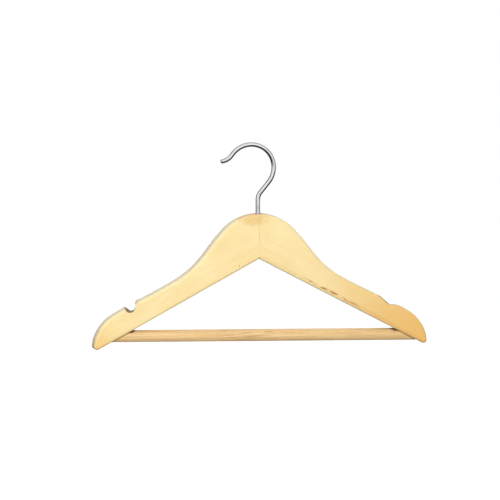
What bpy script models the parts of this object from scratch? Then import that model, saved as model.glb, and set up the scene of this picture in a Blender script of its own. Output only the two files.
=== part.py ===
"""Small wooden clothes hanger with a swivelling wire hook and a trouser bar.

Units are metres and +Z is up. The origin is the hook's seat: the point on the inside of the hook's
bend, straight above the swivel axis, where a rail bears. +X runs along the hanger's width, and its
front face looks along -Y. The swivel axis is the Z axis.
"""

from math import atan2, cos, pi, radians, sin, sqrt, tan

import bmesh
import bpy
from mathutils import Matrix, Vector
from mathutils.geometry import interpolate_bezier

# Board: two arms sawn from one thickness of wood, joined at the crown.
BOARD_THICKNESS = 0.015
EDGE_ROUNDOVER = 0.0028
ROUNDOVER_SEGMENTS = 4
ARM_SLOPE = radians(28.0)
CROWN_HEIGHT = 0.045
CROWN_DROP = 0.0661
CROWN_RADIUS = 0.049
CROWN_SWEEP = radians(50)
CROWN_STEPS = 10

# Upper edge of an arm from the crown's arc to the tip's: distance along the lower edge from the apex,
# and height square to it.
UPPER_EDGE = (
    (0.0300, 0.0383),
    (0.0400, 0.0338),
    (0.0500, 0.0294),
    (0.0600, 0.0258),
    (0.0700, 0.0235),
    (0.0800, 0.0222),
    (0.1000, 0.0218),
    (0.1250, 0.0223),
    (0.1520, 0.0227),
    (0.1650, 0.0218),
    (0.1760, 0.0178),
    (0.1850, 0.0115),
)
EDGE_STEPS = 3
TIP_RADIUS = 0.0033
TIP_ALONG = 0.1875
TIP_START = radians(33)
TIP_STEPS = 7

# The arms were cut to uneven lengths: past the shoulder the right one is this much longer than given
# above, and the left one as much shorter.
UNEVENNESS = 0.0020
SHOULDER_END = 0.1100

# Crown joint: finger joint glued through the thickness, and the small gap left under it.
FINGER_COUNT = 3
FINGER_REACH = 0.0031
FINGER_TIP = 0.0003
APEX_GAP_WIDTH = 0.0024
APEX_GAP_HEIGHT = 0.0022

# Strap notches: centre along and square to the lower edge, and radius, at the front face and at the back.
LEFT_NOTCH = ((0.1380, 0.0217, 0.0050), (0.1345, 0.0198, 0.0045))
RIGHT_NOTCH = ((0.1385, 0.0273, 0.0085), (0.1427, 0.0284, 0.0085))

# Trouser bar: a dowel let into blind sockets in the arms' lower edges, and held by a brad each side.
BAR_DIAMETER = 0.0120
BAR_DROP = 0.0774
BAR_TILT = radians(1.08)
BAR_LEFT_END = -0.1535
BAR_RIGHT_END = 0.1615
BAR_END_CHAMFER = 0.0006
BRAD_DIAMETER = 0.0012
BRAD_LENGTH = 0.0095
BRAD_SET = 0.0004
LEFT_BRAD_X = -0.1480
RIGHT_BRAD_X = 0.1560

# Hook: wire with a rounded tip, held by an upset head under a steel sleeve in the crown.
WIRE_DIAMETER = 0.0045
LOOP_RADIUS = 0.0234
LOOP_OFFSET = 0.0072
NECK_ANGLE = radians(39.2)
NECK_RADIUS = 0.011
LOOP_END_ANGLE = radians(145)
FLICK_RADIUS = 0.015
FLICK_ANGLE = radians(45)
ARC_STEP = radians(5)
SLEEVE_OUTSIDE = 0.0064
SLEEVE_INSIDE = 0.0051
SLEEVE_LENGTH = 0.018
SLEEVE_EDGE = 0.00015
SLEEVE_RECESS = 0.0003
HEAD_DIAMETER = 0.0060
HEAD_HEIGHT = 0.0020
HEAD_CLEARANCE = 0.0005
BORE_DEPTH = 0.0225

FIT_GAP = 0.0003
ROUND_STEPS = 32
MERGE = 1e-5
FLAT_ANGLE = radians(0.5)
CUTTER_REACH = 0.02

WIRE_RADIUS = WIRE_DIAMETER / 2
LOOP_HEIGHT = -sqrt((LOOP_RADIUS - WIRE_RADIUS) ** 2 - LOOP_OFFSET**2)
CROWN_Z = -CROWN_DROP
APEX_Z = CROWN_Z - CROWN_HEIGHT
SLEEVE_TOP_Z = CROWN_Z - SLEEVE_RECESS
SLEEVE_BOTTOM_Z = SLEEVE_TOP_Z - SLEEVE_LENGTH
HEAD_TOP_Z = SLEEVE_BOTTOM_Z - HEAD_CLEARANCE
HALF_THICKNESS = BOARD_THICKNESS / 2


def clear_scene():
    for obj in list(bpy.data.objects):
        bpy.data.objects.remove(obj, do_unlink=True)


def new_collection(name, hidden=False):
    collection = bpy.data.collections.new(name)
    collection.hide_render = hidden
    bpy.context.scene.collection.children.link(collection)
    return collection


def new_material(name, colour, roughness, metallic=0.0):
    material = bpy.data.materials.new(name)
    material.use_nodes = True
    shader = material.node_tree.nodes["Principled BSDF"]
    shader.inputs["Base Color"].default_value = (*colour, 1)
    shader.inputs["Roughness"].default_value = roughness
    shader.inputs["Metallic"].default_value = metallic
    return material


def add_object(name, data, collection, material=None):
    obj = bpy.data.objects.new(name, data)
    collection.objects.link(obj)
    if material:
        data.materials.append(material)
    return obj


def add_cutter(name, mesh):
    cutter = add_object(name, mesh, cutters)
    cutter.hide_render = True
    cutter.display_type = "WIRE"
    return cutter


def mesh_of_curve(obj):
    """The evaluated curve as a closed mesh. The curve object is removed."""
    bpy.context.view_layer.update()
    graph = bpy.context.evaluated_depsgraph_get()
    mesh = bpy.data.meshes.new_from_object(obj.evaluated_get(graph))
    build = bmesh.new()
    build.from_mesh(mesh)
    bmesh.ops.remove_doubles(build, verts=build.verts, dist=MERGE)
    bmesh.ops.dissolve_limit(build, angle_limit=FLAT_ANGLE, verts=build.verts, edges=build.edges)
    bmesh.ops.recalc_face_normals(build, faces=build.faces)
    build.to_mesh(mesh)
    build.free()
    bpy.data.objects.remove(obj, do_unlink=True)
    return mesh


def cylinder_mesh(name, start, end, radius, end_radius=None):
    """A closed cylinder between two points, or a cone where the end's radius differs."""
    start, end = Vector(start), Vector(end)
    axis = end - start
    turn = axis.to_track_quat("Z", "Y").to_matrix().to_4x4()
    mesh = bpy.data.meshes.new(name)
    build = bmesh.new()
    bmesh.ops.create_cone(
        build,
        cap_ends=True,
        segments=ROUND_STEPS,
        radius1=radius,
        radius2=radius if end_radius is None else end_radius,
        depth=axis.length,
        matrix=Matrix.Translation((start + end) / 2) @ turn,
    )
    build.to_mesh(mesh)
    build.free()
    return mesh


def boolean(obj, cutter, operation="DIFFERENCE"):
    modifier = obj.modifiers.new(cutter.name, "BOOLEAN")
    modifier.operation = operation
    modifier.object = cutter
    modifier.solver = "EXACT"


def smooth(mesh, angle=radians(35)):
    mesh.shade_smooth()
    mesh.set_sharp_from_angle(angle=angle)


def arm_point(along, across, side=1):
    """X and height of a point given along and square to an arm's lower edge."""
    x = along * cos(ARM_SLOPE) + across * sin(ARM_SLOPE)
    z = across * cos(ARM_SLOPE) - along * sin(ARM_SLOPE)
    return Vector((side * x, APEX_Z + z))


def bar_height(x):
    return APEX_Z - BAR_DROP - x * tan(BAR_TILT)


def through_points(points, steps):
    """A smooth line through all points but the first and the last, which only give its end slopes."""
    line = []
    for before, start, end, after in zip(points, points[1:], points[2:], points[3:]):
        handle = (end - start).length / 3
        leave = start + (end - before).normalized() * handle
        arrive = end - (after - start).normalized() * handle
        line += interpolate_bezier(start, leave, arrive, end, steps + 1)[:-1]
    return [*line, points[-2]]


def half_outline(side):
    """Outline of one arm from the top of the crown round to the apex, as (x, z) for an arm towards +X."""
    longer = side * UNEVENNESS
    crown = []
    for step in range(CROWN_STEPS + 1):
        angle = CROWN_SWEEP * step / CROWN_STEPS
        crown.append(Vector((CROWN_RADIUS * sin(angle), CROWN_Z - CROWN_RADIUS * (1 - cos(angle)))))
    tip = []
    for step in range(TIP_STEPS + 1):
        angle = TIP_START - (TIP_START + pi / 2) * step / TIP_STEPS
        tip.append(arm_point(TIP_ALONG + longer + TIP_RADIUS * cos(angle), TIP_RADIUS * (1 + sin(angle))))
    edge = [arm_point(along + (longer if along > SHOULDER_END else 0), across) for along, across in UPPER_EDGE]
    shoulder = through_points([*crown[-2:], *edge, *tip[:2]], EDGE_STEPS)
    return [*crown[:-1], *shoulder, *tip[1:], Vector((0, APEX_Z))]


def board_blank():
    """Both arms as one board with its edges rounded over, before it is cut."""
    outline = half_outline(1) + [Vector((-x, z)) for x, z in reversed(half_outline(-1)[1:-1])]
    curve = bpy.data.curves.new("board_outline", "CURVE")
    curve.dimensions = "2D"
    curve.fill_mode = "BOTH"
    curve.extrude = HALF_THICKNESS
    spline = curve.splines.new("POLY")
    spline.points.add(len(outline) - 1)
    spline.use_cyclic_u = True
    for point, (x, z) in zip(spline.points, outline):
        point.co = (x, z, 0, 1)
    mesh = mesh_of_curve(add_object("board_outline", curve, cutters))
    mesh.transform(Matrix.Rotation(pi / 2, 4, "X"))
    blank = add_cutter("board_blank", mesh)
    bevel = blank.modifiers.new("edge_roundover", "BEVEL")
    bevel.width = EDGE_ROUNDOVER
    bevel.segments = ROUNDOVER_SEGMENTS
    bevel.limit_method = "ANGLE"
    bevel.angle_limit = radians(60)
    bevel.use_clamp_overlap = False
    return blank


def finger_line(shift):
    """The crown joint seen from above: a blunt zigzag that meets both faces on the centre line."""
    pitch = BOARD_THICKNESS / FINGER_COUNT
    line = [(shift, -BOARD_THICKNESS), (shift, -HALF_THICKNESS)]
    for finger in range(FINGER_COUNT):
        start = -HALF_THICKNESS + finger * pitch
        for quarter, direction in ((0.25, 1), (0.75, -1)):
            middle = start + quarter * pitch
            line.append((shift + direction * FINGER_REACH, middle - FINGER_TIP))
            line.append((shift + direction * FINGER_REACH, middle + FINGER_TIP))
    line += [(shift, HALF_THICKNESS), (shift, BOARD_THICKNESS)]
    return line


def side_cutter(name, side):
    """Everything on one side of the crown joint, as a closed solid."""
    reach = side * (BAR_RIGHT_END + 2 * CUTTER_REACH)
    line = finger_line(side * FIT_GAP / 2)
    outline = [*line, (reach, BOARD_THICKNESS), (reach, -BOARD_THICKNESS)]
    curve = bpy.data.curves.new(name, "CURVE")
    curve.dimensions = "2D"
    curve.fill_mode = "BOTH"
    curve.extrude = CROWN_HEIGHT + BAR_DROP
    spline = curve.splines.new("POLY")
    spline.points.add(len(outline) - 1)
    spline.use_cyclic_u = True
    for point, (x, y) in zip(spline.points, outline):
        point.co = (x, y, 0, 1)
    mesh = mesh_of_curve(add_object(name, curve, cutters))
    mesh.transform(Matrix.Translation((0, 0, APEX_Z)))
    return add_cutter(name, mesh)


def apex_gap_cutter():
    """A prism with a diamond section, which opens the joint in a V under the apex."""
    mesh = bpy.data.meshes.new("apex_gap_cut")
    build = bmesh.new()
    bmesh.ops.create_cone(build, cap_ends=True, segments=4, radius1=1, radius2=1, depth=1)
    size = Matrix.Diagonal((APEX_GAP_WIDTH / 2, APEX_GAP_HEIGHT, 2 * BOARD_THICKNESS, 1))
    place = Matrix.Translation((0, 0, APEX_Z)) @ Matrix.Rotation(pi / 2, 4, "X")
    bmesh.ops.transform(build, matrix=place @ size, verts=build.verts)
    build.to_mesh(mesh)
    build.free()
    return add_cutter("apex_gap_cut", mesh)


def notch_cutter(name, notch, side):
    """A round bore through an arm that leans, and may narrow, from the front face to the back. It runs on
    past both faces by half the board's thickness."""
    (front_x, front_z), (back_x, back_z) = (arm_point(along, across, side) for along, across, _ in notch)
    front, back = Vector((front_x, -HALF_THICKNESS, front_z)), Vector((back_x, HALF_THICKNESS, back_z))
    lean = (back - front) / 2
    narrowing = (notch[0][2] - notch[1][2]) / 2
    start_radius, end_radius = notch[0][2] + narrowing, notch[1][2] - narrowing
    return add_cutter(name, cylinder_mesh(name, front - lean, back + lean, start_radius, end_radius))


def bar_point(x, y=0.0):
    return Vector((x, y, bar_height(x)))


def socket_cutter():
    """The bar's own line, wider and longer than the bar by the fitting gap."""
    start, end = bar_point(BAR_LEFT_END - FIT_GAP), bar_point(BAR_RIGHT_END + FIT_GAP)
    return add_cutter("bar_socket_cut", cylinder_mesh("bar_socket_cut", start, end, BAR_DIAMETER / 2 + FIT_GAP))


def brad_ends(x, gap=0.0):
    """Outer and inner end of a brad driven from the back face, with the gap round it added."""
    outer = bar_point(x, HALF_THICKNESS - BRAD_SET + (CUTTER_REACH if gap else 0))
    inner = bar_point(x, HALF_THICKNESS - BRAD_SET - BRAD_LENGTH - gap)
    return outer, inner


def brad_cutter(name, x):
    outer, inner = brad_ends(x, FIT_GAP)
    return add_cutter(name, cylinder_mesh(name, inner, outer, BRAD_DIAMETER / 2 + FIT_GAP))


def bore_cutter():
    """The blind bore in the crown that takes the sleeve and the hook's head."""
    start, end = (0, 0, CROWN_Z - BORE_DEPTH), (0, 0, CROWN_Z + CUTTER_REACH)
    return add_cutter("hook_bore_cut", cylinder_mesh("hook_bore_cut", start, end, SLEEVE_OUTSIDE / 2 + FIT_GAP))


def make_arm(name, side_solid, notch, brad_hole):
    arm = add_object(name, blank_mesh.copy(), hanger, arm_wood)
    boolean(arm, side_solid, "INTERSECT")
    for cutter in (notch, socket, bore, apex_gap, brad_hole):
        boolean(arm, cutter)
    smooth(arm.data)
    return arm


def make_bar():
    start, end = bar_point(BAR_LEFT_END), bar_point(BAR_RIGHT_END)
    bar = add_object("trouser_bar", cylinder_mesh("trouser_bar", start, end, BAR_DIAMETER / 2), hanger, bar_wood)
    bevel = bar.modifiers.new("end_chamfer", "BEVEL")
    bevel.width = BAR_END_CHAMFER
    bevel.segments = 1
    bevel.limit_method = "ANGLE"
    bevel.angle_limit = radians(60)
    for hole in (left_brad_hole, right_brad_hole):
        boolean(bar, hole)
    smooth(bar.data)
    return bar


def turned_object(name, profile, collection, material=None, ring=False):
    """A solid of revolution about Z. The profile is (radius, z), running down its outer side, and a
    ring's profile closes on itself."""
    mesh = bpy.data.meshes.new(name)
    build = bmesh.new()
    points = [build.verts.new((radius, 0, z)) for radius, z in profile]
    for first, second in zip(points, points[1:] + points[:1] if ring else points[1:]):
        build.edges.new((first, second))
    build.to_mesh(mesh)
    build.free()
    obj = add_object(name, mesh, collection, material)
    screw = obj.modifiers.new("turning", "SCREW")
    screw.steps = screw.render_steps = ROUND_STEPS
    screw.use_merge_vertices = True
    screw.merge_threshold = MERGE
    screw.use_normal_calculate = True
    return obj


def make_sleeve():
    """The steel tube that the hook turns in, with its inner and outer edges broken."""
    outside, inside = SLEEVE_OUTSIDE / 2, SLEEVE_INSIDE / 2
    profile = [
        (inside, SLEEVE_TOP_Z - SLEEVE_EDGE),
        (inside + SLEEVE_EDGE, SLEEVE_TOP_Z),
        (outside - SLEEVE_EDGE, SLEEVE_TOP_Z),
        (outside, SLEEVE_TOP_Z - SLEEVE_EDGE),
        (outside, SLEEVE_BOTTOM_Z + SLEEVE_EDGE),
        (outside - SLEEVE_EDGE, SLEEVE_BOTTOM_Z),
        (inside, SLEEVE_BOTTOM_Z),
    ]
    sleeve = turned_object("swivel_sleeve", profile, hanger, sleeve_steel, ring=True)
    smooth(sleeve.data)
    return sleeve


def arc(centre, radius, start, turn):
    """Points along an arc after its first point, in the XZ plane. A positive turn is anticlockwise."""
    steps = max(1, round(abs(turn) / ARC_STEP))
    angles = [start + turn * step / steps for step in range(1, steps + 1)]
    return [Vector((centre.x + radius * cos(a), 0, centre.z + radius * sin(a))) for a in angles]


def hook_path():
    """The wire's centre line from its lower end to its tip."""
    centre = Vector((-LOOP_OFFSET, 0, LOOP_HEIGHT))
    touch = centre + LOOP_RADIUS * Vector((cos(NECK_ANGLE), 0, -sin(NECK_ANGLE)))
    slant = Vector((sin(NECK_ANGLE), 0, cos(NECK_ANGLE)))
    corner_z = touch.z - touch.x / slant.x * slant.z
    tangent = NECK_RADIUS * tan(NECK_ANGLE / 2)
    path = [Vector((0, 0, HEAD_TOP_Z - HEAD_HEIGHT / 2)), Vector((0, 0, corner_z - tangent))]
    path += arc(Vector((NECK_RADIUS, 0, corner_z - tangent)), NECK_RADIUS, pi, -NECK_ANGLE)
    path.append(touch)
    path += arc(centre, LOOP_RADIUS, -NECK_ANGLE, NECK_ANGLE + LOOP_END_ANGLE)
    outward = Vector((cos(LOOP_END_ANGLE), 0, sin(LOOP_END_ANGLE)))
    flick_centre = path[-1] + FLICK_RADIUS * outward
    start = atan2(-outward.z, -outward.x)
    path += arc(flick_centre, FLICK_RADIUS, start, -FLICK_ANGLE)
    return path


def rounded_tip(path):
    """Wire radius factors along the path, with the last points added so that the wire's end is round."""
    heading = (path[-1] - path[-2]).normalized()
    base = path[-1]
    radii = [1.0] * len(path)
    for step in (1, 2, 3, 4):
        angle = step * radians(20)
        path.append(base + heading * WIRE_RADIUS * sin(angle))
        radii.append(cos(angle))
    return radii


def make_hook():
    path = hook_path()
    radii = rounded_tip(path)
    curve = bpy.data.curves.new("hook", "CURVE")
    curve.dimensions = "3D"
    curve.bevel_depth = WIRE_RADIUS
    curve.bevel_resolution = 4
    curve.use_fill_caps = True
    spline = curve.splines.new("POLY")
    spline.points.add(len(path) - 1)
    for point, place, radius in zip(spline.points, path, radii):
        point.co = (*place, 1)
        point.radius = radius
    mesh = mesh_of_curve(add_object("hook_path", curve, cutters))
    hook = add_object("hook", mesh, hanger, hook_steel)
    edge = HEAD_HEIGHT / 5
    radius = HEAD_DIAMETER / 2
    bottom = HEAD_TOP_Z - HEAD_HEIGHT
    profile = [
        (0, HEAD_TOP_Z),
        (radius - edge, HEAD_TOP_Z),
        (radius, HEAD_TOP_Z - edge),
        (radius, bottom + edge),
        (radius - edge, bottom),
        (0, bottom),
    ]
    head = turned_object("hook_head", profile, cutters)
    head.hide_render = True
    head.display_type = "WIRE"
    boolean(hook, head, "UNION")
    smooth(hook.data)
    return hook


def make_brad(name, x):
    outer, inner = brad_ends(x)
    brad = add_object(name, cylinder_mesh(name, inner, outer, BRAD_DIAMETER / 2), hanger, brad_steel)
    smooth(brad.data)
    return brad


clear_scene()
hanger = new_collection("clothes_hanger")
cutters = new_collection("cutters", hidden=True)

arm_wood = new_material("arm_wood", (0.93, 0.72, 0.36), 0.35)
bar_wood = new_material("bar_wood", (0.86, 0.58, 0.28), 0.45)
hook_steel = new_material("hook_steel", (0.62, 0.64, 0.64), 0.18, metallic=1.0)
sleeve_steel = new_material("sleeve_steel", (0.35, 0.35, 0.33), 0.35, metallic=1.0)
brad_steel = new_material("brad_steel", (0.45, 0.44, 0.42), 0.40, metallic=1.0)

blank = board_blank()
bpy.context.view_layer.update()
blank_mesh = bpy.data.meshes.new_from_object(blank.evaluated_get(bpy.context.evaluated_depsgraph_get()))
socket = socket_cutter()
bore = bore_cutter()
apex_gap = apex_gap_cutter()
left_brad_hole = brad_cutter("left_brad_cut", LEFT_BRAD_X)
right_brad_hole = brad_cutter("right_brad_cut", RIGHT_BRAD_X)

left_notch = notch_cutter("left_notch_cut", LEFT_NOTCH, -1)
right_notch = notch_cutter("right_notch_cut", RIGHT_NOTCH, 1)
make_arm("left_arm", side_cutter("left_side_cut", -1), left_notch, left_brad_hole)
make_arm("right_arm", side_cutter("right_side_cut", 1), right_notch, right_brad_hole)
make_bar()
make_sleeve()
make_hook()
make_brad("left_bar_brad", LEFT_BRAD_X)
make_brad("right_bar_brad", RIGHT_BRAD_X)
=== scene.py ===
"""Looks of the small wooden clothes hanger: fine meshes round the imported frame, materials, and a studio.

Units are metres and +Z is up, in the part's own frame: the origin is the hook's seat, +X runs along the
hanger's width, and its front face looks along -Y.
"""

from collections import namedtuple
from math import atan2, cos, pi, radians, sin, sqrt, tan

import bmesh
import bpy
import numpy as np
from mathutils import Matrix, Vector
from mathutils.geometry import interpolate_bezier


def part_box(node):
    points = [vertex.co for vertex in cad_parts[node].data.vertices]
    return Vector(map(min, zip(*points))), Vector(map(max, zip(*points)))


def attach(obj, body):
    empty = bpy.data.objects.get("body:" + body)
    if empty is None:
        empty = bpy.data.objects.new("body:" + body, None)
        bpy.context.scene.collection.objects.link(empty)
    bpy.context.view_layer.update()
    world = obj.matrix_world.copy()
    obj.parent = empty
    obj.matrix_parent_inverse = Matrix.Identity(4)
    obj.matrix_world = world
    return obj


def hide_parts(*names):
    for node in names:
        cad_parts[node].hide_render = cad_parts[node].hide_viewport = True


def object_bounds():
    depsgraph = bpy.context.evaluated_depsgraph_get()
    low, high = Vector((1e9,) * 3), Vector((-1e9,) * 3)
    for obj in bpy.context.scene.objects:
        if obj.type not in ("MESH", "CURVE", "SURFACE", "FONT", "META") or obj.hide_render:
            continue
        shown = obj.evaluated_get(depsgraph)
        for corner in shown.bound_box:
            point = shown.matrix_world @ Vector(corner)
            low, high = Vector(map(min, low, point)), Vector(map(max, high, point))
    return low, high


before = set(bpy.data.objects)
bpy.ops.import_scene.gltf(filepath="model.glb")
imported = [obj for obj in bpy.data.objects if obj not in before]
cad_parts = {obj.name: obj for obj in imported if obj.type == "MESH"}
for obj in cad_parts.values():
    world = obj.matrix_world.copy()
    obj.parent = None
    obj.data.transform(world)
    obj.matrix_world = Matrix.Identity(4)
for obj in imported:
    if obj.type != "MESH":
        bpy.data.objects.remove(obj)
cad_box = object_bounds()

# Sizes taken from the frame.
BOARD_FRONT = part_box("left_arm")[0].y
BOARD_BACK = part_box("left_arm")[1].y
CROWN_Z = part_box("left_arm")[1].z
SLEEVE_LOW, SLEEVE_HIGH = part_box("swivel_sleeve")
BAR_LEFT_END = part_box("trouser_bar")[0].x
BAR_RIGHT_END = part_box("trouser_bar")[1].x

# Board outline, as in the part: distances along and square to an arm's lower edge from the apex. Past the
# shoulder's end the right arm is longer by the unevenness, and the left one is shorter by it.
ARM_SLOPE = radians(28.0)
CROWN_HEIGHT = 0.045
CROWN_RADIUS = 0.049
CROWN_SWEEP = radians(50)
UPPER_EDGE = (
    (0.0300, 0.0383),
    (0.0400, 0.0338),
    (0.0500, 0.0294),
    (0.0600, 0.0258),
    (0.0700, 0.0235),
    (0.0800, 0.0222),
    (0.1000, 0.0218),
    (0.1250, 0.0223),
    (0.1520, 0.0227),
    (0.1650, 0.0218),
    (0.1760, 0.0178),
    (0.1850, 0.0115),
)
TIP_RADIUS = 0.0033
TIP_ALONG = 0.18744
TIP_START = radians(33)
UNEVENNESS = 0.0020
SHOULDER_END = 0.1100
EDGE_ROUNDOVER = 0.0028
EASE_REACH = 0.0030
APEX_Z = CROWN_Z - CROWN_HEIGHT

# Strap notches, at the front face and at the back. A notch has a round bottom, whose centre is given along
# and square to the lower edge, and two straight walls, which lean out towards the crown and the tip and end
# in rounded corners. Edge is the roundover that is left on its rim. No corner starts further from the
# bottom than the reach.
Notch = namedtuple("Notch", "along across radius near_lean far_lean near_corner far_corner edge")
LEFT_NOTCH = (
    Notch(0.1380, 0.0217, 0.0050, radians(29), radians(5), 0.0035, 0.0008, 0.0004),
    Notch(0.1345, 0.0190, 0.0038, radians(29), radians(25), 0.0035, 0.0015, 0.0004),
)
RIGHT_NOTCH = (
    Notch(0.1400, 0.0206, 0.0018, radians(76), radians(66), 0.0120, 0.0160, 0.0010),
    Notch(0.1442, 0.0211, 0.0018, radians(76), radians(66), 0.0120, 0.0160, 0.0010),
)
NOTCH_REACH = 0.028

# Glued finger joint down the middle of the crown.
FINGER_COUNT = 3
FINGER_REACH = 0.0031
FINGER_TIP = 0.0003
GLUE_LINE = 0.00012
APEX_GAP_WIDTH = 0.0024
APEX_GAP_HEIGHT = 0.0022

# Trouser bar and its brads.
BAR_DIAMETER = 0.0120
BAR_DROP = 0.0774
BAR_TILT = radians(1.08)
BAR_END_ROUND = 0.0006
SOCKET_GAP = 0.00012
BRAD_DIAMETER = 0.0012
BRAD_LENGTH = 0.0095
BRAD_SET = 0.0004
# Profiles of a brad's point and of its head, as distance from that end and radius, in shares of its radius.
BRAD_POINT = ((0.0, 0.4), (0.6, 1.0))
BRAD_HEAD = ((0.2, 1.0), (0.0, 0.8), (0.0, 0.5), (0.3, 0.1))
LEFT_BRAD_X = -0.1480
RIGHT_BRAD_X = 0.1560

# Hook wire, its head and the sleeve it turns in.
WIRE_RADIUS = 0.00225
LOOP_RADIUS = 0.0234
LOOP_OFFSET = 0.0072
NECK_ANGLE = radians(39.2)
NECK_RADIUS = 0.011
LOOP_END_ANGLE = radians(145)
FLICK_RADIUS = 0.015
FLICK_ANGLE = radians(45)
HEAD_RADIUS = 0.0030
HEAD_HEIGHT = 0.0020
HEAD_ROUND = 0.0004
HEAD_CLEARANCE = 0.0005
SLEEVE_WALL = 0.00065
SLEEVE_LIP = 0.0002
BORE_DEPTH = 0.0225
BORE_GAP = 0.0002
LOOP_HEIGHT = -sqrt((LOOP_RADIUS - WIRE_RADIUS) ** 2 - LOOP_OFFSET**2)
HEAD_TOP_Z = SLEEVE_LOW.z - HEAD_CLEARANCE

# Fineness of the meshes, the bend that counts as a crisp edge, and how far cutters reach past the wood.
EDGE_SPACING = 0.0011
ROUNDOVER_STEPS = 9
TIP_STEPS = 16
FILLET_STEPS = 12
NOTCH_STEPS = 36
SHOULDER_STEPS = 110
LOBE_STEPS = 40
LOWER_STEPS = 20
ROUND_STEPS = 64
ARC_STEP = radians(2)
CURVE_STEPS = 16
CORNER_TRIES = 40
END_STEPS = 5
LIP_STEPS = 4
DOME_STEPS = 12
DOME_STEP = radians(7.7)
SHARP_ANGLE = radians(32)
CUTTER_REACH = 0.02

# Marks on the arms, and painted shade. Spots are given by X and height, with half sizes in both. The dashes
# run beside the right arm's lower edge, and fade in and out along it. The seam fades in from low to high, and
# the painted shade on the rear edge from its start to where it is full. A notch's near corner gets up to a
# share of the real burn and painted shade that its wall gets.
TAN_PATCH = (-0.0070, CROWN_Z - 0.0040)
TAN_PATCH_SIZE = (0.0190, 0.0105)
TAN_PATCH_RAGGED = 1.0
KNOT = (-0.0205, APEX_Z - 0.0064)
KNOT_SIZE = (0.0007, 0.0011)
DASH_HEIGHT = 0.0036
DASHES_START = (0.045, 0.068)
DASHES_END = (0.118, 0.100)
SEAM_LOW = APEX_Z - 0.005
SEAM_HIGH = CROWN_Z - 0.012
REAR_START = BOARD_BACK - 0.0052
REAR_FULL = BOARD_BACK - 0.0030
CORNER_CUT = 0.35

# Marks on the bar: where along X its streaks fade in and out, and how far from the arm's lower edge and
# over the bar's axis the painted shade at its ends lies.
STREAKS_START = (-0.050, -0.030)
STREAKS_END = (0.030, 0.005)
JOINT_SHADE_BAND = (-0.0011, -0.0004)
CORNER_SHADE_BAND = (-0.0028, -0.0018)
CORNER_SHADE_HEIGHT = (0.0028, 0.0040)

# Noise that draws a surface: how long and how wide its cells are, and its detail, distortion and offset.
Grain = namedtuple("Grain", "length width detail distortion offset", defaults=(0.0, 0.0))
ARM_FIGURING = Grain(0.10, 0.006, 3.0, 0.8)
ARM_MOTTLE = Grain(0.035, 0.018, 3.0, 0.3, 5.0)
ARM_FIBRES = Grain(0.018, 0.00045, 4.0, 0.2, 9.0)
ARM_PORES = Grain(0.0035, 0.00016, 1.0, 0.0, 3.0)
SEAM_BREAKS = Grain(0.002, 0.002, 2.0)
DASH_BREAKS = Grain(0.009, 0.002, 2.0, 0.0, 7.0)
RAGGED_RIM = Grain(0.006, 0.004, 3.0)
BAR_FIGURING = Grain(0.09, 0.0022, 3.0, 1.0)
BAR_STREAKS = Grain(0.028, 0.0011, 3.0, 0.9, 4.0)
BAR_FIBRES = Grain(0.012, 0.00035, 3.0, 0.1, 8.0)
BAR_PORES = Grain(0.0040, 0.00020, 1.0, 0.0, 2.0)
DRAWING_MARKS = Grain(0.030, 0.00022, 3.0)
RUBBING = Grain(0.006, 0.0016, 3.0, 0.4, 6.0)
TARNISH = Grain(0.0012, 0.0012, 4.0, 0.5)
SCRATCHES = Grain(0.0002, 0.0030, 2.0)
NOISE_ROUGHNESS = 0.55

# Colours, in linear light.
WHITE = (1.0, 1.0, 1.0, 1.0)
FLOOR_GREY = (0.6, 0.6, 0.6, 1.0)
ARM_PALE = (0.93, 0.77, 0.40, 1.0)
ARM_TAN = (0.81, 0.46, 0.105, 1.0)
EDGE_PAINTED_HIGHLIGHT = (0.93, 0.86, 0.66, 1.0)
EDGE_PAINTED_SHADE = (0.34, 0.30, 0.22, 1.0)
SEAM_BROWN = (0.30, 0.18, 0.08, 1.0)
PATCH_TAN = (0.78, 0.50, 0.17, 1.0)
CUT_BURN_AND_SHADE_BROWN = (0.20, 0.14, 0.06, 1.0)
KNOT_BROWN = (0.22, 0.13, 0.05, 1.0)
DASH_BROWN = (0.38, 0.15, 0.03, 1.0)
BAR_PALE = (0.88, 0.62, 0.30, 1.0)
STREAK_BROWN = (0.40, 0.23, 0.09, 1.0)
PAINTED_SHADE_BROWN = (0.16, 0.08, 0.03, 1.0)
NICKEL = (0.74, 0.77, 0.78, 1.0)
SLEEVE_GREY = (0.42, 0.41, 0.38, 1.0)
BRAD_GREY = (0.50, 0.48, 0.45, 1.0)

# Layers of colour over those: the value of noise or of a distance where a layer starts and is full, the most
# that it covers, and its colour.
Layer = namedtuple("Layer", "start full share colour")
ARM_WARM = Layer(0.3, 0.72, 1.0, (0.90, 0.70, 0.33, 1.0))
ARM_FIGURE = Layer(0.45, 0.75, 0.22, (0.83, 0.60, 0.27, 1.0))
ARM_FIBRE = Layer(0.35, 0.8, 0.30, (0.80, 0.56, 0.26, 1.0))
ARM_PORE = Layer(0.66, 0.76, 0.40, (0.45, 0.27, 0.11, 1.0))
BAR_WARM = Layer(0.35, 0.65, 1.0, (0.79, 0.50, 0.22, 1.0))
BAR_FIBRE = Layer(0.35, 0.8, 0.35, (0.66, 0.42, 0.20, 1.0))
BAR_PORE = Layer(0.62, 0.74, 0.45, (0.36, 0.20, 0.08, 1.0))
BAR_OLIVE = Layer(-0.02, 0.16, 0.20, (0.70, 0.50, 0.20, 1.0))
NICKEL_WORN = Layer(0.45, 0.7, 1.0, (0.60, 0.62, 0.62, 1.0))
NICKEL_DRAWN = Layer(0.5, 0.8, 0.30, (0.45, 0.46, 0.46, 1.0))
SLEEVE_DARK = Layer(0.35, 0.7, 1.0, (0.24, 0.23, 0.20, 1.0))
SLEEVE_RUST = Layer(0.58, 0.72, 0.5, (0.22, 0.14, 0.08, 1.0))
BRAD_DARK = Layer(0.35, 0.7, 1.0, (0.34, 0.32, 0.29, 1.0))
BRAD_RUST = Layer(0.58, 0.72, 0.5, (0.30, 0.16, 0.08, 1.0))
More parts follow.
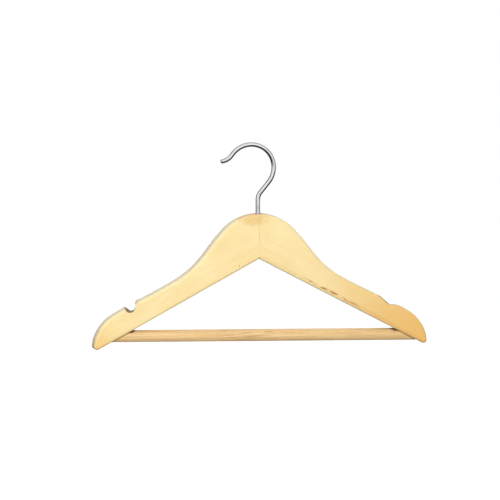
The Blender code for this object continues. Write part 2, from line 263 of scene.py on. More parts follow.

# What differs between the two arms' looks: where along the arm their wood turns tan, how much painted shade
# their edges get all round, and how dark their notch's wall is made by burn and painted shade.
ArmLook = namedtuple("ArmLook", "tan edge_stain notch_share")
LEFT_LOOK = ArmLook(Layer(0.150, 0.196, 0.60, ARM_TAN), 0.20, 0.90)
RIGHT_LOOK = ArmLook(Layer(0.025, 0.195, 0.90, ARM_TAN), 0.40, 0.60)

# Roughness of each surface where noise adds nothing to it, and the depth of its bumps.
ARM_ROUGHNESS = 0.36
ARM_BUMPS = 0.00006
BAR_ROUGHNESS = 0.40
BAR_BUMPS = 0.00008
HOOK_ROUGHNESS = 0.13
STEEL_ROUGHNESS = 0.30
STEEL_BUMPS = 0.00002

# Picture: the width that it takes in at the hanger, and how far the hanger is right of and above its middle.
PICTURE_WIDTH = 0.5
CAMERA_AZIMUTH = radians(-12.2)
CAMERA_ELEVATION = radians(7.0)
CAMERA_LENS = 1000
CAMERA_SENSOR = 36
HANGER_RIGHT = 0.0096
HANGER_UP = 0.0055
FLOOR_DROP = 0.30
FLOOR_RADIUS = 12.0
FLOOR_SIDES = 96
FLOOR_GLOW = 0.72
CLIP_START = 0.1
CLIP_END = 100

# Soft square lamps. Azimuth and elevation give the direction that a lamp stands in, as the camera's do.
Lamp = namedtuple("Lamp", "name azimuth elevation distance size power")
LAMPS = (
    Lamp("key", radians(-22), radians(12), 1.5, 0.9, 13.5),
    Lamp("fill", radians(40), radians(5), 2.0, 1.6, 6),
    Lamp("side", radians(-80), radians(40), 1.4, 0.9, 3.5),
    Lamp("back", radians(160), radians(45), 1.6, 1.2, 12),
)
BACKDROP_LIGHT = 1.05
AMBIENT_LIGHT = 0.50

# What polished metal sees round it: each glow's direction, where it starts and is full, and its strength.
# Below the horizon the room is dark.
ROOM_DARK = 0.03
ROOM_GLOWS = (
    (Vector((-0.35, -0.90, 0.20)), -0.20, 0.90, 1.05),
    (Vector((0.20, 0.45, 0.87)), 0.45, 0.95, 0.40),
    (Vector((0.90, -0.40, 0.15)), 0.30, 1.00, 0.35),
)
HORIZON = (-0.40, -0.05)

shop = bpy.data.collections.new("looks")
bpy.context.scene.collection.children.link(shop)


# Meshes


def loft(name, rings, closed=False):
    """A closed mesh through rings that have the same number of points. Its ends are capped, unless the
    last ring joins the first."""
    count = len(rings[0])
    spans = list(zip(range(len(rings)), range(1, len(rings))))
    if closed:
        spans.append((len(rings) - 1, 0))
    faces = []
    for first, second in spans:
        for step in range(count):
            after = (step + 1) % count
            faces.append(
                (first * count + step, first * count + after, second * count + after, second * count + step)
            )
    if not closed:
        faces.append(tuple(range(count)))
        faces.append(tuple(range((len(rings) - 1) * count, len(rings) * count)))
    mesh = bpy.data.meshes.new(name)
    mesh.from_pydata([point for ring in rings for point in ring], [], faces)
    build = bmesh.new()
    build.from_mesh(mesh)
    bmesh.ops.recalc_face_normals(build, faces=build.faces)
    build.to_mesh(mesh)
    build.free()
    return mesh


def add_object(name, mesh):
    obj = bpy.data.objects.new(name, mesh)
    shop.objects.link(obj)
    return obj


def turned(name, start, axis, profile, closed=False):
    """A solid of revolution. The profile is (distance along the axis, radius)."""
    axis = Vector(axis).normalized()
    side = axis.orthogonal().normalized()
    other = axis.cross(side)
    angles = [2 * pi * step / ROUND_STEPS for step in range(ROUND_STEPS)]
    rings = []
    for along, radius in profile:
        centre = Vector(start) + along * axis
        rings.append([centre + radius * (cos(a) * side + sin(a) * other) for a in angles])
    return loft(name, rings, closed)


def rounded_profile(length, radius, rounding):
    """Profile of a cylinder with rounded end edges."""
    quarter = [pi / 2 * step / END_STEPS for step in range(END_STEPS + 1)]
    first = [(rounding * (1 - sin(a)), radius - rounding * (1 - cos(a))) for a in reversed(quarter)]
    last = [(length - along, across) for along, across in reversed(first)]
    return first + last


def cylinder(name, start, end, radius):
    start, end = Vector(start), Vector(end)
    return turned(name, start, end - start, [(0, radius), ((end - start).length, radius)])


def cut_with(obj, steps):
    """Runs Booleans on an object, given as (operation, cutter), and keeps only their result."""
    for operation, cutter in steps:
        modifier = obj.modifiers.new(cutter.name, "BOOLEAN")
        modifier.operation = operation
        modifier.object = cutter
        modifier.solver = "EXACT"
    bpy.context.view_layer.update()
    graph = bpy.context.evaluated_depsgraph_get()
    result = bpy.data.meshes.new_from_object(obj.evaluated_get(graph))
    obj.modifiers.clear()
    obj.data = result


def remove(objects):
    for obj in objects:
        bpy.data.objects.remove(obj, do_unlink=True)


def smooth(obj):
    """Smooth shading that keeps flat faces flat and crisp edges crisp."""
    obj.data.shade_smooth()
    obj.data.set_sharp_from_angle(angle=SHARP_ANGLE)
    weighted = obj.modifiers.new("face_weighted_normals", "WEIGHTED_NORMAL")
    weighted.keep_sharp = True


# Board


def arm_point(along, across):
    """X and height on the right arm of a point given along and square to its lower edge."""
    x = along * cos(ARM_SLOPE) + across * sin(ARM_SLOPE)
    z = across * cos(ARM_SLOPE) - along * sin(ARM_SLOPE)
    return Vector((x, APEX_Z + z))


def through_points(points):
    """A smooth line through all points but the first and the last, which only give its end slopes."""
    line = []
    for before, start, end, after in zip(points, points[1:], points[2:], points[3:]):
        handle = (end - start).length / 3
        leave = start + (end - before).normalized() * handle
        arrive = end - (after - start).normalized() * handle
        line += interpolate_bezier(start, leave, arrive, end, CURVE_STEPS + 1)[:-1]
    return [*line, points[-2]]


def arc_between(centre, radius, start, end, steps, clockwise=False):
    """Points along an arc from one direction to another."""
    first = atan2(start.y, start.x)
    last = atan2(end.y, end.x)
    if clockwise and last > first:
        last -= 2 * pi
    if not clockwise and last < first:
        last += 2 * pi
    angles = [first + (last - first) * step / steps for step in range(steps + 1)]
    return [centre + radius * Vector((cos(a), sin(a))) for a in angles]


class Line:
    """A line of points that can be read at any distance from its start."""

    def __init__(self, points):
        self.points = np.array([tuple(point) for point in points])
        gaps = np.linalg.norm(np.diff(self.points, axis=0), axis=1)
        self.lengths = np.concatenate(([0], np.cumsum(gaps)))
        self.length = float(self.lengths[-1])

    def at(self, distance):
        x, z = (np.interp(distance, self.lengths, self.points[:, axis]) for axis in (0, 1))
        return Vector((x, z))

    def inward(self, distance, reach=0.0005):
        """Unit direction into the wood, on the right-hand side of the line."""
        ahead = self.at(distance + reach) - self.at(distance - reach)
        return Vector((ahead.y, -ahead.x)).normalized()

    def nearest(self, point):
        distances = np.linalg.norm(self.points - np.array(tuple(point)), axis=1)
        return float(self.lengths[distances.argmin()])


def tip_arc(longer):
    """The arm's rounded tip, from the upper edge round to the lower one."""
    angles = [TIP_START - (TIP_START + pi / 2) * step / TIP_STEPS for step in range(TIP_STEPS + 1)]
    return [arm_point(TIP_ALONG + longer + TIP_RADIUS * cos(a), TIP_RADIUS * (1 + sin(a))) for a in angles]


def upper_line(longer):
    """An arm's upper edge from the top of the crown to where the tip's arc starts, as on the right."""
    steps = round(CROWN_RADIUS * CROWN_SWEEP / EDGE_SPACING)
    crown = []
    for step in range(steps + 1):
        angle = CROWN_SWEEP * step / steps
        crown.append(Vector((CROWN_RADIUS * sin(angle), CROWN_Z - CROWN_RADIUS * (1 - cos(angle)))))
    edge = []
    for along, across in UPPER_EDGE:
        edge.append(arm_point(along + (longer if along > SHOULDER_END else 0), across))
    shoulder = through_points([*crown[-2:], *edge, *tip_arc(longer)[:2]])
    return Line([*crown[:-1], *shoulder])


def corner_start(line, touch, way, corner, outside, inside):
    """How far along the line a corner's rounding starts that also touches a notch's straight wall. The wall
    runs through a point, and its way points into the wood."""
    for _ in range(CORNER_TRIES):
        middle = (outside + inside) / 2
        place = line.at(middle) + corner * line.inward(middle)
        if (place - touch).dot(way) > corner:
            outside = middle
        else:
            inside = middle
    return outside


def rounding(distance, edge):
    """The board's roundover at a distance from a notch, on whose own rim it shrinks to the edge given."""
    share = min(1.0, distance / EASE_REACH)
    return edge + (EDGE_ROUNDOVER - edge) * share * share * (3 - 2 * share)


def half_outline(side, notch):
    """One arm's outline from the top of the crown to the apex, as it is on the right-hand side.

    Each point is (place, roundover, cut), where cut is 1 on the notch's wall.
    """
    longer = side * UNEVENNESS
    line = upper_line(longer)
    centre = arm_point(notch.along, notch.across)
    origin = arm_point(0, 0)
    near_way = arm_point(-cos(notch.near_lean), -sin(notch.near_lean)) - origin
    far_way = arm_point(cos(notch.far_lean), -sin(notch.far_lean)) - origin
    middle = line.nearest(centre)
    near_touch = centre + notch.radius * near_way
    far_touch = centre + notch.radius * far_way
    near = corner_start(line, near_touch, near_way, notch.near_corner, middle - NOTCH_REACH, middle)
    far = corner_start(line, far_touch, far_way, notch.far_corner, middle + NOTCH_REACH, middle)
    near_centre = line.at(near) + notch.near_corner * line.inward(near)
    far_centre = line.at(far) + notch.far_corner * line.inward(far)
    near_arc = arc_between(near_centre, notch.near_corner, -line.inward(near), -near_way, FILLET_STEPS, True)
    bottom = arc_between(centre, notch.radius, near_way, far_way, NOTCH_STEPS)
    far_arc = arc_between(far_centre, notch.far_corner, -far_way, -line.inward(far), FILLET_STEPS, True)

    points = []
    for step in range(SHOULDER_STEPS):
        distance = near * step / SHOULDER_STEPS
        points.append((line.at(distance), rounding(near - distance, notch.edge), 0.0))
    for step, place in enumerate(near_arc):
        points.append((place, notch.edge, CORNER_CUT * step / FILLET_STEPS))
    points += [(place, notch.edge, 1.0) for place in bottom]
    for step, place in enumerate(far_arc):
        points.append((place, notch.edge, 1 - step / FILLET_STEPS))
    for step in range(1, LOBE_STEPS):
        distance = far + (line.length - far) * step / LOBE_STEPS
        points.append((line.at(distance), rounding(distance - far, notch.edge), 0.0))
    points += [(place, EDGE_ROUNDOVER, 0.0) for place in tip_arc(longer)]
    lower_end = points[-1][0]
    for step in range(1, LOWER_STEPS):
        points.append((lower_end.lerp(origin, step / LOWER_STEPS), EDGE_ROUNDOVER, 0.0))
    return points


def board_outline(face):
    """Both arms' outline on the front face (0) or the back (1), clockwise from the crown's top as seen from
    the front."""
    right = half_outline(1, RIGHT_NOTCH[face])
    left = half_outline(-1, LEFT_NOTCH[face])
    mirrored = [(Vector((-place.x, place.y)), edge, cut) for place, edge, cut in reversed(left[1:])]
    apex = (arm_point(0, 0), EDGE_ROUNDOVER, 0.0)
    return [*right, apex, *mirrored]


def inward_offsets(places):
    """For each point of a closed clockwise outline, the move inwards that shifts both its edges by one."""
    offsets = []
    for index, place in enumerate(places):
        before = (place - places[index - 1]).normalized()
        after = (places[(index + 1) % len(places)] - place).normalized()
        first = Vector((before.y, -before.x))
        second = Vector((after.y, -after.x))
        offsets.append((first + second) / (1 + first.dot(second)))
    return offsets


def board_ring(outline, offsets, angle, back):
    """One ring of the board's surface: angle 0 is where the flat face ends, and 90 degrees the edge."""
    ring = []
    for (place, edge, _), offset in zip(outline, offsets):
        inside = place + edge * (1 - sin(angle)) * offset
        sunk = edge * (1 - cos(angle))
        ring.append(Vector((inside.x, BOARD_BACK - sunk if back else BOARD_FRONT + sunk, inside.y)))
    return ring


def board_mesh():
    """Both arms as one board with rounded edges and its two notches, before it is cut."""
    angles = [pi / 2 * step / ROUNDOVER_STEPS for step in range(ROUNDOVER_STEPS + 1)]
    rings = []
    for back in (False, True):
        outline = board_outline(int(back))
        offsets = inward_offsets([place for place, _, _ in outline])
        for angle in reversed(angles) if back else angles:
            rings.append(board_ring(outline, offsets, angle, back))
    mesh = loft("board", rings)
    cuts = [cut for _, _, cut in board_outline(0)]
    wall = mesh.attributes.new("cut_wall", "FLOAT", "POINT")
    wall.data.foreach_set("value", cuts * len(rings))
    return mesh


def side_cutter(name, side):
    """Everything on one side of the crown's finger joint, as a closed solid."""
    shift = side * GLUE_LINE / 2
    thickness = BOARD_BACK - BOARD_FRONT
    pitch = thickness / FINGER_COUNT
    line = [(shift, 2 * BOARD_FRONT), (shift, BOARD_FRONT)]
    for finger in range(FINGER_COUNT):
        for quarter, direction in ((0.25, 1), (0.75, -1)):
            middle = BOARD_FRONT + (finger + quarter) * pitch
            line.append((shift + direction * FINGER_REACH, middle - FINGER_TIP))
            line.append((shift + direction * FINGER_REACH, middle + FINGER_TIP))
    line += [(shift, BOARD_BACK), (shift, 2 * BOARD_BACK)]
    reach = side * (BAR_RIGHT_END + 2 * CUTTER_REACH)
    outline = [*line, (reach, 2 * BOARD_BACK), (reach, 2 * BOARD_FRONT)]
    low = APEX_Z - 2 * BAR_DROP
    high = CROWN_Z + CUTTER_REACH
    rings = [[Vector((x, y, z)) for x, y in outline] for z in (low, high)]
    return add_object(name, loft(name, rings))


def apex_gap_cutter():
    """The small V that opens under the joint at the apex. Its top corner is just off the middle, where the
    board has an edge of its own."""
    corners = [
        (-APEX_GAP_WIDTH / 2, -APEX_GAP_HEIGHT),
        (APEX_GAP_WIDTH / 2, -APEX_GAP_HEIGHT),
        (GLUE_LINE, APEX_GAP_HEIGHT),
    ]
    rings = [[Vector((x, y, APEX_Z + z)) for x, z in corners] for y in (2 * BOARD_FRONT, 2 * BOARD_BACK)]
    return add_object("apex_gap_cut", loft("apex_gap_cut", rings))


def bar_point(x, y=0.0):
    """The point on the bar's axis at that X, or behind it by y."""
    return Vector((x, y, APEX_Z - BAR_DROP - x * tan(BAR_TILT)))


def brad_ends(x):
    """A brad's head and its inner end."""
    return bar_point(x, BOARD_BACK - BRAD_SET), bar_point(x, BOARD_BACK - BRAD_SET - BRAD_LENGTH)


def brad_hole(name, x):
    """The hole that a brad makes, open to the back."""
    outer, inner = brad_ends(x)
    outer.y += CUTTER_REACH
    return add_object(name, cylinder(name, inner, outer, BRAD_DIAMETER / 2 + SOCKET_GAP))


def socket_cutter():
    ends = [bar_point(BAR_LEFT_END - SOCKET_GAP), bar_point(BAR_RIGHT_END + SOCKET_GAP)]
    return add_object("socket_cut", cylinder("socket_cut", *ends, BAR_DIAMETER / 2 + SOCKET_GAP))


def bore_cutter():
    ends = [(0, 0, CROWN_Z - BORE_DEPTH), (0, 0, CROWN_Z + CUTTER_REACH)]
    return add_object("bore_cut", cylinder("bore_cut", *ends, SLEEVE_HIGH.x + BORE_GAP))


def make_arms():
    """Both arms, cut from one board as the part's are."""
    mesh = board_mesh()
    shared = [socket_cutter(), bore_cutter(), apex_gap_cutter()]
    arms = []
    for side, label, brad_x in ((-1, "left", LEFT_BRAD_X), (1, "right", RIGHT_BRAD_X)):
        arm = add_object(f"{label}_arm_wood", mesh.copy())
        half = side_cutter(f"{label}_side_cut", side)
        hole = brad_hole(f"{label}_brad_cut", brad_x)
        cut_with(arm, [("INTERSECT", half), *(("DIFFERENCE", cutter) for cutter in (*shared, hole))])
        remove([half, hole])
        smooth(arm)
        arms.append(arm)
    remove(shared)
    return arms


# Bar, brads, sleeve and hook


def make_bar():
    start, end = bar_point(BAR_LEFT_END), bar_point(BAR_RIGHT_END)
    profile = rounded_profile((end - start).length, BAR_DIAMETER / 2, BAR_END_ROUND)
    bar = add_object("trouser_bar_wood", turned("trouser_bar_wood", start, end - start, profile))
    smooth(bar)
    return bar


def make_brad(name, x):
    """A brad with a blunt point, whose set head has a rounded rim and a shallow punch mark."""
    outer, inner = brad_ends(x)
    radius = BRAD_DIAMETER / 2
    profile = [(along * radius, across * radius) for along, across in BRAD_POINT]
    profile += [(BRAD_LENGTH - along * radius, across * radius) for along, across in BRAD_HEAD]
    brad = add_object(name, turned(name, inner, outer - inner, profile))
    smooth(brad)
    return brad


def make_sleeve():
    """The steel tube in the crown, with rolled lips."""
    outside = SLEEVE_HIGH.x
    inside = outside - SLEEVE_WALL
    height = SLEEVE_HIGH.z - SLEEVE_LOW.z
    quarter = [pi / 2 * step / LIP_STEPS for step in range(LIP_STEPS + 1)]
    corners = (
        (0.0, SLEEVE_LIP, outside, -SLEEVE_LIP, quarter[::-1]),
        (height, -SLEEVE_LIP, outside, -SLEEVE_LIP, quarter),
        (height, -SLEEVE_LIP, inside, SLEEVE_LIP, quarter[::-1]),
        (0.0, SLEEVE_LIP, inside, SLEEVE_LIP, quarter),
    )
    profile = []
    for end, end_lip, wall, wall_lip, angles in corners:
        profile += [(end + end_lip * (1 - sin(a)), wall + wall_lip * (1 - cos(a))) for a in angles]
    mesh = turned("swivel_sleeve_steel", (0, 0, SLEEVE_LOW.z), (0, 0, 1), profile, closed=True)
    sleeve = add_object("swivel_sleeve_steel", mesh)
    smooth(sleeve)
    return sleeve


def arc(centre, radius, start, turn):
    """Points along an arc after its first point, in the XZ plane. A positive turn is anticlockwise."""
    steps = max(1, round(abs(turn) / ARC_STEP))
    angles = [start + turn * step / steps for step in range(1, steps + 1)]
    return [Vector((centre.x + radius * cos(a), 0, centre.z + radius * sin(a))) for a in angles]


def hook_path():
    """The wire's centre line from under its head to its tip."""
    centre = Vector((-LOOP_OFFSET, 0, LOOP_HEIGHT))
    touch = centre + LOOP_RADIUS * Vector((cos(NECK_ANGLE), 0, -sin(NECK_ANGLE)))
    slant = Vector((sin(NECK_ANGLE), 0, cos(NECK_ANGLE)))
    corner_z = touch.z - touch.x / slant.x * slant.z
    tangent = NECK_RADIUS * tan(NECK_ANGLE / 2)
    path = [Vector((0, 0, HEAD_TOP_Z)), Vector((0, 0, corner_z - tangent))]
    path += arc(Vector((NECK_RADIUS, 0, corner_z - tangent)), NECK_RADIUS, pi, -NECK_ANGLE)
    path.append(touch)
    path += arc(centre, LOOP_RADIUS, -NECK_ANGLE, NECK_ANGLE + LOOP_END_ANGLE)
    outward = Vector((cos(LOOP_END_ANGLE), 0, sin(LOOP_END_ANGLE)))
    flick_centre = path[-1] + FLICK_RADIUS * outward
    start = atan2(-outward.z, -outward.x)
    path += arc(flick_centre, FLICK_RADIUS, start, -FLICK_ANGLE)
    return path


def wire_ring(centre, heading, radius):
    """Points round the wire, whose line stays in the XZ plane."""
    across = heading.cross(Vector((0, 1, 0)))
    angles = [2 * pi * step / ROUND_STEPS for step in range(ROUND_STEPS)]
    return [centre + radius * (cos(a) * Vector((0, 1, 0)) + sin(a) * across) for a in angles]


def make_hook():
    """The bent wire with its upset head and domed tip. It carries its straightened place for the drawing
    marks: the distance along the wire, and the place across it."""
    path = hook_path()
    up = Vector((0, 0, 1))
    bottom = path[0] - HEAD_HEIGHT * up
    stations = []
    for along, radius in rounded_profile(HEAD_HEIGHT, HEAD_RADIUS, HEAD_ROUND):
        stations.append((bottom + along * up, up, radius))
    stations.append((path[0], up, WIRE_RADIUS))
    for before, place, after in zip(path, path[1:], path[2:]):
        stations.append((place, (after - before).normalized(), WIRE_RADIUS))
    heading = (path[-1] - path[-2]).normalized()
    for step in range(DOME_STEPS):
        angle = step * DOME_STEP
        stations.append((path[-1] + WIRE_RADIUS * sin(angle) * heading, heading, WIRE_RADIUS * cos(angle)))
    mesh = loft("hook_wire", [wire_ring(*station) for station in stations])
    straight = []
    length = 0.0
    for index, (place, _, radius) in enumerate(stations):
        length += (place - stations[max(0, index - 1)][0]).length
        for step in range(ROUND_STEPS):
            angle = 2 * pi * step / ROUND_STEPS
            straight += (length, radius * cos(angle), radius * sin(angle))
    mesh.attributes.new("wire_place", "FLOAT_VECTOR", "POINT").data.foreach_set("vector", straight)
    hook = add_object("hook_wire", mesh)
    smooth(hook)
    return hook


# Materials


def new_material(name):
    material = bpy.data.materials.new(name)
    material.use_nodes = True
    tree = material.node_tree
    return material, tree, tree.nodes["Principled BSDF"]


def add_node(tree, kind, inputs=(), **settings):
    """A new node with its settings. An input is a value, or a socket to link."""
    node = tree.nodes.new(kind)
    for name, value in settings.items():
        setattr(node, name, value)
    for name, value in dict(inputs).items():
        if isinstance(value, bpy.types.NodeSocket):
            tree.links.new(value, node.inputs[name])
        else:
            node.inputs[name].default_value = value
    return node


def calc(tree, operation, first, second=0.0):
    node = add_node(tree, "ShaderNodeMath", {0: first, 1: second}, operation=operation)
    return node.outputs["Value"]


def vector_calc(tree, operation, first, second=(0.0, 0.0, 0.0), output="Vector"):
    node = add_node(tree, "ShaderNodeVectorMath", {0: first, 1: second}, operation=operation)
    return node.outputs[output]


def part_of(tree, vector, axis):
    return add_node(tree, "ShaderNodeSeparateXYZ", {"Vector": vector}).outputs[axis]


def noise(tree, place, grain):
    """Noise whose cells are as long as the grain says along the place's X, and as wide across it."""
    cells = vector_calc(tree, "MULTIPLY", place, (1 / grain.length, 1 / grain.width, 1 / grain.width))
    inputs = {
        "Vector": vector_calc(tree, "ADD", cells, (grain.offset, grain.offset, grain.offset)),
        "Scale": 1.0,
        "Detail": grain.detail,
        "Roughness": NOISE_ROUGHNESS,
        "Distortion": grain.distortion,
    }
    return add_node(tree, "ShaderNodeTexNoise", inputs).outputs["Fac"]


def between(tree, value, low, high):
    """0 where the value is at low, 1 where it is at high, and smooth in between."""
    inputs = {"Value": value, "From Min": low, "From Max": high}
    return add_node(tree, "ShaderNodeMapRange", inputs, interpolation_type="SMOOTHSTEP").outputs["Result"]


def scaled(tree, value, amount):
    return calc(tree, "MULTIPLY", value, amount)


def mixed(tree, share, first, second):
    """Two colours mixed. The mix node's colour sockets are its seventh and eighth."""
    node = add_node(tree, "ShaderNodeMix", {0: share, 6: first, 7: second}, data_type="RGBA")
    return node.outputs[2]


def laid(tree, tone, value, layer):
    """A tone with a layer of colour over it where the value is past the layer's start."""
    share = scaled(tree, between(tree, value, layer.start, layer.full), layer.share)
    return mixed(tree, share, tone, layer.colour)


def spot(tree, place, centre, size, ragged=0.0):
    """1 inside a soft oval on the board's face, given by its centre and half sizes in X and Z. Ragged is
    how far noise breaks up its rim."""
    away = vector_calc(tree, "SUBTRACT", place, (centre[0], 0.0, centre[1]))
    shrunk = vector_calc(tree, "MULTIPLY", away, (1 / size[0], 0.0, 1 / size[1]))
    distance = vector_calc(tree, "LENGTH", shrunk, output="Value")
    if ragged:
        distance = calc(tree, "ADD", distance, scaled(tree, noise(tree, place, RAGGED_RIM), ragged))
    return between(tree, distance, 1.0 + ragged / 2, 0.35 + ragged / 2)


def finish_surface(tree, shader, tone, rough, height, depth, strength):
    """Gives a surface its colour and its bumps, and a roughness made of a least value and of amounts of
    what varies over it."""
    roughness, *additions = rough
    for value, amount in additions:
        roughness = calc(tree, "ADD", roughness, scaled(tree, value, amount))
    bump = add_node(tree, "ShaderNodeBump", {"Height": height, "Distance": depth, "Strength": strength})
    tree.links.new(tone, shader.inputs["Base Color"])
    tree.links.new(roughness, shader.inputs["Roughness"])
    tree.links.new(bump.outputs["Normal"], shader.inputs["Normal"])


def set_coat(shader, weight, roughness):
    shader.inputs["Coat Weight"].default_value = weight
    shader.inputs["Coat Roughness"].default_value = roughness


def arm_wood(name, side, look):
    """Pale lacquered hardwood with its grain along the arm. Its edges carry a painted highlight where they
    face up and painted shade where they face down or back, and a little all round. The left arm has a small
    knot, and the front of the right one a row of brown dashes."""
    material, tree, shader = new_material(name)
    place = add_node(tree, "ShaderNodeTexCoord").outputs["Object"]
    from_apex = vector_calc(tree, "SUBTRACT", place, (0.0, 0.0, APEX_Z))
    turn = {"Vector": from_apex, "Angle": side * -ARM_SLOPE}
    arm_place = add_node(tree, "ShaderNodeVectorRotate", turn, rotation_type="Y_AXIS").outputs["Vector"]
    along = scaled(tree, part_of(tree, arm_place, "X"), side)
    across = part_of(tree, arm_place, "Z")

    figure = noise(tree, arm_place, ARM_FIGURING)
    mottle = noise(tree, arm_place, ARM_MOTTLE)
    fibres = noise(tree, arm_place, ARM_FIBRES)
    pores = noise(tree, arm_place, ARM_PORES)
    tone = laid(tree, ARM_PALE, mottle, ARM_WARM)
    tone = laid(tree, tone, figure, ARM_FIGURE)
    tone = laid(tree, tone, fibres, ARM_FIBRE)
    tone = laid(tree, tone, pores, ARM_PORE)
    tone = laid(tree, tone, along, look.tan)

    # Edges: a painted highlight where they face up, and painted shade where they face down, at the rear and a
    # little all round.
    normal = add_node(tree, "ShaderNodeTexCoord").outputs["Normal"]
    facing = calc(tree, "ABSOLUTE", part_of(tree, normal, "Y"))
    upward = part_of(tree, normal, "Z")
    rear = between(tree, part_of(tree, place, "Y"), REAR_START, REAR_FULL)
    shaded_side = calc(tree, "MAXIMUM", rear, between(tree, upward, 0.15, -0.15))
    shaded_side = calc(tree, "MAXIMUM", shaded_side, look.edge_stain)
    painted_edge_shade = calc(tree, "MULTIPLY", between(tree, facing, 0.75, 0.25), shaded_side)
    painted_edge_highlight = calc(tree, "MULTIPLY", between(tree, facing, 0.92, 0.45), between(tree, upward, 0.0, 0.4))
    tone = mixed(tree, scaled(tree, painted_edge_highlight, 0.50), tone, EDGE_PAINTED_HIGHLIGHT)
    tone = mixed(tree, scaled(tree, painted_edge_shade, 0.80), tone, EDGE_PAINTED_SHADE)

    # The glued seam, and the tan patch round its upper end.
    seam_width = between(tree, calc(tree, "ABSOLUTE", part_of(tree, place, "X")), 0.0006, 0.0002)
    seam = calc(tree, "MULTIPLY", seam_width, between(tree, noise(tree, place, SEAM_BREAKS), 0.40, 0.65))
    seam = calc(tree, "MULTIPLY", seam, between(tree, part_of(tree, place, "Z"), SEAM_LOW, SEAM_HIGH))
    tone = mixed(tree, scaled(tree, seam, 0.60), tone, SEAM_BROWN)
    tan_patch = spot(tree, place, TAN_PATCH, TAN_PATCH_SIZE, TAN_PATCH_RAGGED)
    tone = mixed(tree, scaled(tree, tan_patch, 0.70), tone, PATCH_TAN)

    # The notch's wall darkened, partly by real burn from the cutter and partly by painted shade in the
    # recess.
    cut = add_node(tree, "ShaderNodeAttribute", attribute_name="cut_wall").outputs["Fac"]
    burn_and_shade = calc(tree, "MULTIPLY", cut, between(tree, facing, 0.8, 0.3))
    burn_and_shade = calc(tree, "MULTIPLY", burn_and_shade, between(tree, mottle, 0.05, 0.50))
    tone = mixed(tree, scaled(tree, burn_and_shade, look.notch_share), tone, CUT_BURN_AND_SHADE_BROWN)

    if side < 0:
        knot = spot(tree, place, KNOT, KNOT_SIZE)
        tone = mixed(tree, scaled(tree, knot, 0.7), tone, KNOT_BROWN)
    else:
        line = calc(tree, "ABSOLUTE", calc(tree, "SUBTRACT", across, DASH_HEIGHT))
        dashes = between(tree, noise(tree, arm_place, DASH_BREAKS), 0.40, 0.55)
        marks = calc(tree, "MULTIPLY", between(tree, line, 0.0015, 0.0005), dashes)
        fade_in = between(tree, along, *DASHES_START)
        stretch = calc(tree, "MULTIPLY", fade_in, between(tree, along, *DASHES_END))
        burn = calc(tree, "MULTIPLY", marks, calc(tree, "ADD", 0.15, scaled(tree, stretch, 0.85)))
        burn = calc(tree, "MULTIPLY", burn, between(tree, part_of(tree, place, "Y"), 0.001, -0.001))
        tone = mixed(tree, burn, tone, DASH_BROWN)

    rough = (ARM_ROUGHNESS, (mottle, 0.10), (between(tree, facing, 0.75, 0.05), 0.15))
    sunk = between(tree, pores, ARM_PORE.start, ARM_PORE.full)
    height = calc(tree, "SUBTRACT", scaled(tree, fibres, 0.5), sunk)
    finish_surface(tree, shader, tone, rough, height, ARM_BUMPS, 0.6)
    set_coat(shader, 0.20, 0.22)
    return material


def bar_wood():
    """Dowel wood, darker and coarser than the arms, with brown streaks that are strongest in the left of
    its middle."""
    material, tree, shader = new_material("bar_wood")
    place = add_node(tree, "ShaderNodeTexCoord").outputs["Object"]
    figure = noise(tree, place, BAR_FIGURING)
    streaks = noise(tree, place, BAR_STREAKS)
    fibres = noise(tree, place, BAR_FIBRES)
    pores = noise(tree, place, BAR_PORES)
    along = part_of(tree, place, "X")

    tone = laid(tree, BAR_PALE, figure, BAR_WARM)
    tone = laid(tree, tone, fibres, BAR_FIBRE)
    brown = between(tree, streaks, 0.50, 0.68)
    fade_in = between(tree, along, *STREAKS_START)
    window = calc(tree, "MULTIPLY", fade_in, between(tree, along, *STREAKS_END))
    strength = calc(tree, "ADD", 0.30, scaled(tree, window, 0.65))
    tone = mixed(tree, calc(tree, "MULTIPLY", brown, strength), tone, STREAK_BROWN)
    tone = laid(tree, tone, pores, BAR_PORE)
    tone = laid(tree, tone, along, BAR_OLIVE)

    # Painted shade along the joints with the arms and in the corners over the bar.
    outwards = scaled(tree, calc(tree, "ABSOLUTE", along), sin(ARM_SLOPE))
    below_apex = calc(tree, "SUBTRACT", part_of(tree, place, "Z"), APEX_Z)
    from_arm = calc(tree, "ADD", outwards, scaled(tree, below_apex, cos(ARM_SLOPE)))
    joint_shade_line = between(tree, from_arm, *JOINT_SHADE_BAND)
    over_axis = calc(tree, "ADD", calc(tree, "ADD", below_apex, BAR_DROP), scaled(tree, along, tan(BAR_TILT)))
    # Painted shade in the acute corners between the bar's top and the arms.
    near_arm = between(tree, from_arm, *CORNER_SHADE_BAND)
    corner = calc(tree, "MULTIPLY", near_arm, between(tree, over_axis, *CORNER_SHADE_HEIGHT))
    painted_shade = calc(tree, "MAXIMUM", scaled(tree, joint_shade_line, 0.70), scaled(tree, corner, 0.92))
    tone = mixed(tree, painted_shade, tone, PAINTED_SHADE_BROWN)

    sunk = between(tree, pores, BAR_PORE.start, BAR_PORE.full)
    height = calc(tree, "SUBTRACT", scaled(tree, fibres, 0.6), sunk)
    finish_surface(tree, shader, tone, (BAR_ROUGHNESS, (streaks, 0.16)), height, BAR_BUMPS, 0.7)
    set_coat(shader, 0.15, 0.30)
    return material


def hook_steel():
    """Nickel-plated drawn wire with fine marks along it and light rubbing."""
    material, tree, shader = new_material("hook_steel")
    place = add_node(tree, "ShaderNodeAttribute", attribute_name="wire_place").outputs["Vector"]
    drawing = noise(tree, place, DRAWING_MARKS)
    rubbing = noise(tree, place, RUBBING)
    tone = laid(tree, NICKEL, rubbing, NICKEL_WORN)
    tone = laid(tree, tone, drawing, NICKEL_DRAWN)
    worn = between(tree, rubbing, NICKEL_WORN.start, NICKEL_WORN.full)
    rough = (HOOK_ROUGHNESS, (worn, 0.10), (drawing, 0.06))
    finish_surface(tree, shader, tone, rough, drawing, STEEL_BUMPS, 0.5)
    shader.inputs["Metallic"].default_value = 1.0
    return material


